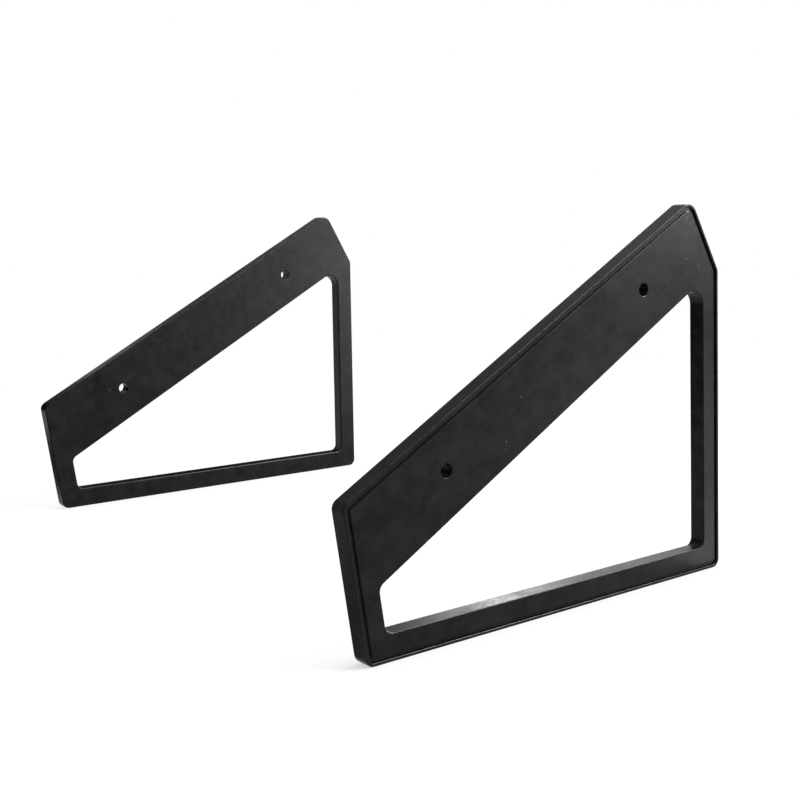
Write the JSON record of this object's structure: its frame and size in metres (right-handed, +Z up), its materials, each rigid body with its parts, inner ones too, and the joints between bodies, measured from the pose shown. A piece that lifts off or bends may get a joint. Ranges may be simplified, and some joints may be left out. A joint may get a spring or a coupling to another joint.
{
  "type": "wheel chock side pair",
  "caption": "Mirrored pair of flat wheel chock sides: hollow wedge-shaped frames with a sloping wheel edge, a window and through bolt holes.",
  "frame": {"origin": "on the floor, in the middle of the pair's bounding box", "axes": "+X along the base towards the tall upright edge, +Z up, +Y from the right side to the left side; the right side's outer face looks towards -Y"},
  "size_m": [0.2802, 0.4092, 0.2086],
  "materials": {
    "black_moulding": "satin black, fine moulded grain",
    "black_steel": "black oxide"
  },
  "bodies": {
    "root": {"right_rear_shell": "black_moulding", "right_front_plate": "black_moulding", "right_low_spacer": "black_steel", "right_high_spacer": "black_steel", "left_rear_shell": "black_moulding", "left_front_plate": "black_moulding", "left_low_spacer": "black_steel", "left_high_spacer": "black_steel"}
  },
  "joints": []
}
